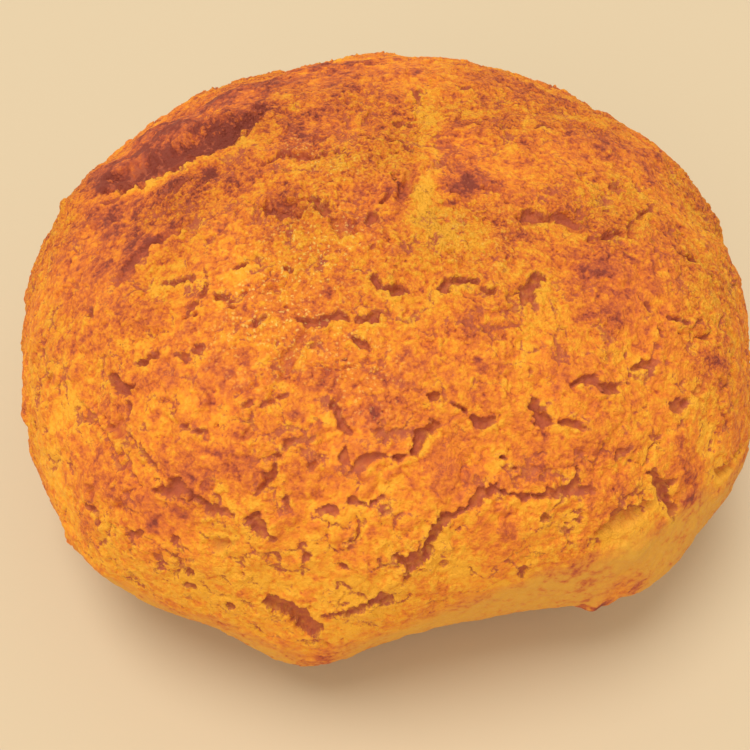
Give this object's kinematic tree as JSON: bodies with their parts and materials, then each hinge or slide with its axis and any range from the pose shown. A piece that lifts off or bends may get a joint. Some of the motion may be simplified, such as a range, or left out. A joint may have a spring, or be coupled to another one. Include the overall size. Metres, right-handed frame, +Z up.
{
  "type": "pineapple bun",
  "caption": "Round, low domed sweet bread roll with a crackled golden-brown crust over its top and sides and a flat base that it rests on.",
  "frame": {"origin": "on the resting surface, under the middle of the bun's box", "axes": "+Z up through the crown; +X along the longer way across the bun; -Y towards the side with the pointed corner"},
  "size_m": [0.112, 0.105, 0.056],
  "materials": {
    "baked_crust": "dry, matt, crumbly baked sugar crust, golden yellow with browned patches"
  },
  "bodies": {
    "root": {"bun": "baked_crust"}
  },
  "joints": []
}
